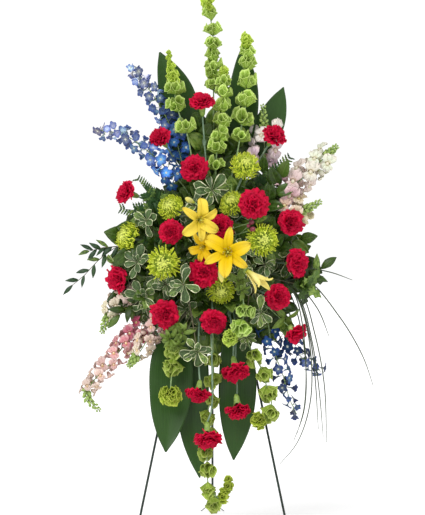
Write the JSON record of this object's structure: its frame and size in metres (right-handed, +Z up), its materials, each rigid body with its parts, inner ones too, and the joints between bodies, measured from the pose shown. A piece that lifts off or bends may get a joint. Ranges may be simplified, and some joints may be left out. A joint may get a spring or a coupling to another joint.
{
  "type": "standing funeral spray",
  "caption": "Standing funeral spray: carnations, lilies, chrysanthemums, flower spikes and long leaves fan out of a foam block tied to a wire easel with a folding rear leg.",
  "frame": {"origin": "floor, under the middle of the whole spray's outline", "axes": "+Z up, the face of the spray towards -Y, +X to the viewer's right"},
  "size_m": [0.8614, 0.7164, 1.4962],
  "materials": {
    "steel": "dark green enamel on steel wire",
    "plastic": "matt green moulded plastic",
    "foam": "matt, porous, soaked floral foam",
    "tie": "nylon band",
    "stem": "grey-green cut stems",
    "carnation": "crimson frilled petals",
    "mum": "chartreuse tubular petals",
    "lily": "yellow waxy petals",
    "bells": "fresh green papery calyces",
    "delphinium": "blue petals with pale centres",
    "snapdragon": "cream to coral petals",
    "aspidistra": "dark green satin leaves",
    "pittosporum": "grey-green leaves with cream edges",
    "foliage": "dark green satin leaves",
    "fern": "matt green fronds",
    "grass": "grey-green grass blades"
  },
  "bodies": {
    "spray": {"easel_leg_left": "steel", "easel_leg_right": "steel", "easel_hinge_pin": "steel", "easel_upper_bar": "steel", "easel_lower_bar": "steel", "foam_tray": "plastic", "tie_left": "tie", "tie_right": "tie", "bloom_stems": "stem", "lily_stems": "stem", "carnation_01": "carnation", "carnation_02": "carnation", "carnation_03": "carnation", "carnation_04": "carnation", "carnation_05": "carnation", "carnation_06": "carnation", "carnation_07": "carnation", "carnation_08": "carnation", "carnation_09": "carnation", "carnation_10": "carnation", "carnation_11": "carnation", "carnation_12": "carnation", "carnation_13": "carnation", "carnation_14": "carnation", "carnation_15": "carnation", "carnation_16": "carnation", "carnation_17": "carnation", "carnation_18": "carnation", "carnation_19": "carnation", "carnation_20": "carnation", "spider_mum_01": "mum", "spider_mum_02": "mum", "spider_mum_03": "mum", "spider_mum_04": "mum", "spider_mum_05": "mum", "spider_mum_06": "mum", "spider_mum_07": "mum", "lily_upper": "lily", "lily_lower": "lily", "lily_side": "lily", "lily_half_open": "lily", "bells_upper": "bells", "bells_face": "bells", "bells_lower": "bells", "delphinium_upper": "delphinium", "delphinium_lower": "delphinium", "snapdragons_right": "snapdragon", "snapdragons_left": "snapdragon", "aspidistra_upper": "aspidistra", "aspidistra_lower": "aspidistra", "pittosporum_left": "pittosporum", "pittosporum_right": "pittosporum", "leaves_left": "foliage", "leaves_right": "foliage", "ferns_left": "fern", "fern_right": "fern", "italian_ruscus": "foliage", "bear_grass": "grass", "foam_block": "foam"},
    "rear_leg": {"easel_rear_leg": "steel"}
  },
  "joints": [
    {"name": "rear_leg_fold", "type": "hinge", "parent": "spray", "child": "rear_leg", "pos_m": [-0.01426, 0.02951, 0.945], "axis": [1, 0, 0], "range_deg": [-32, 0]}
  ]
}
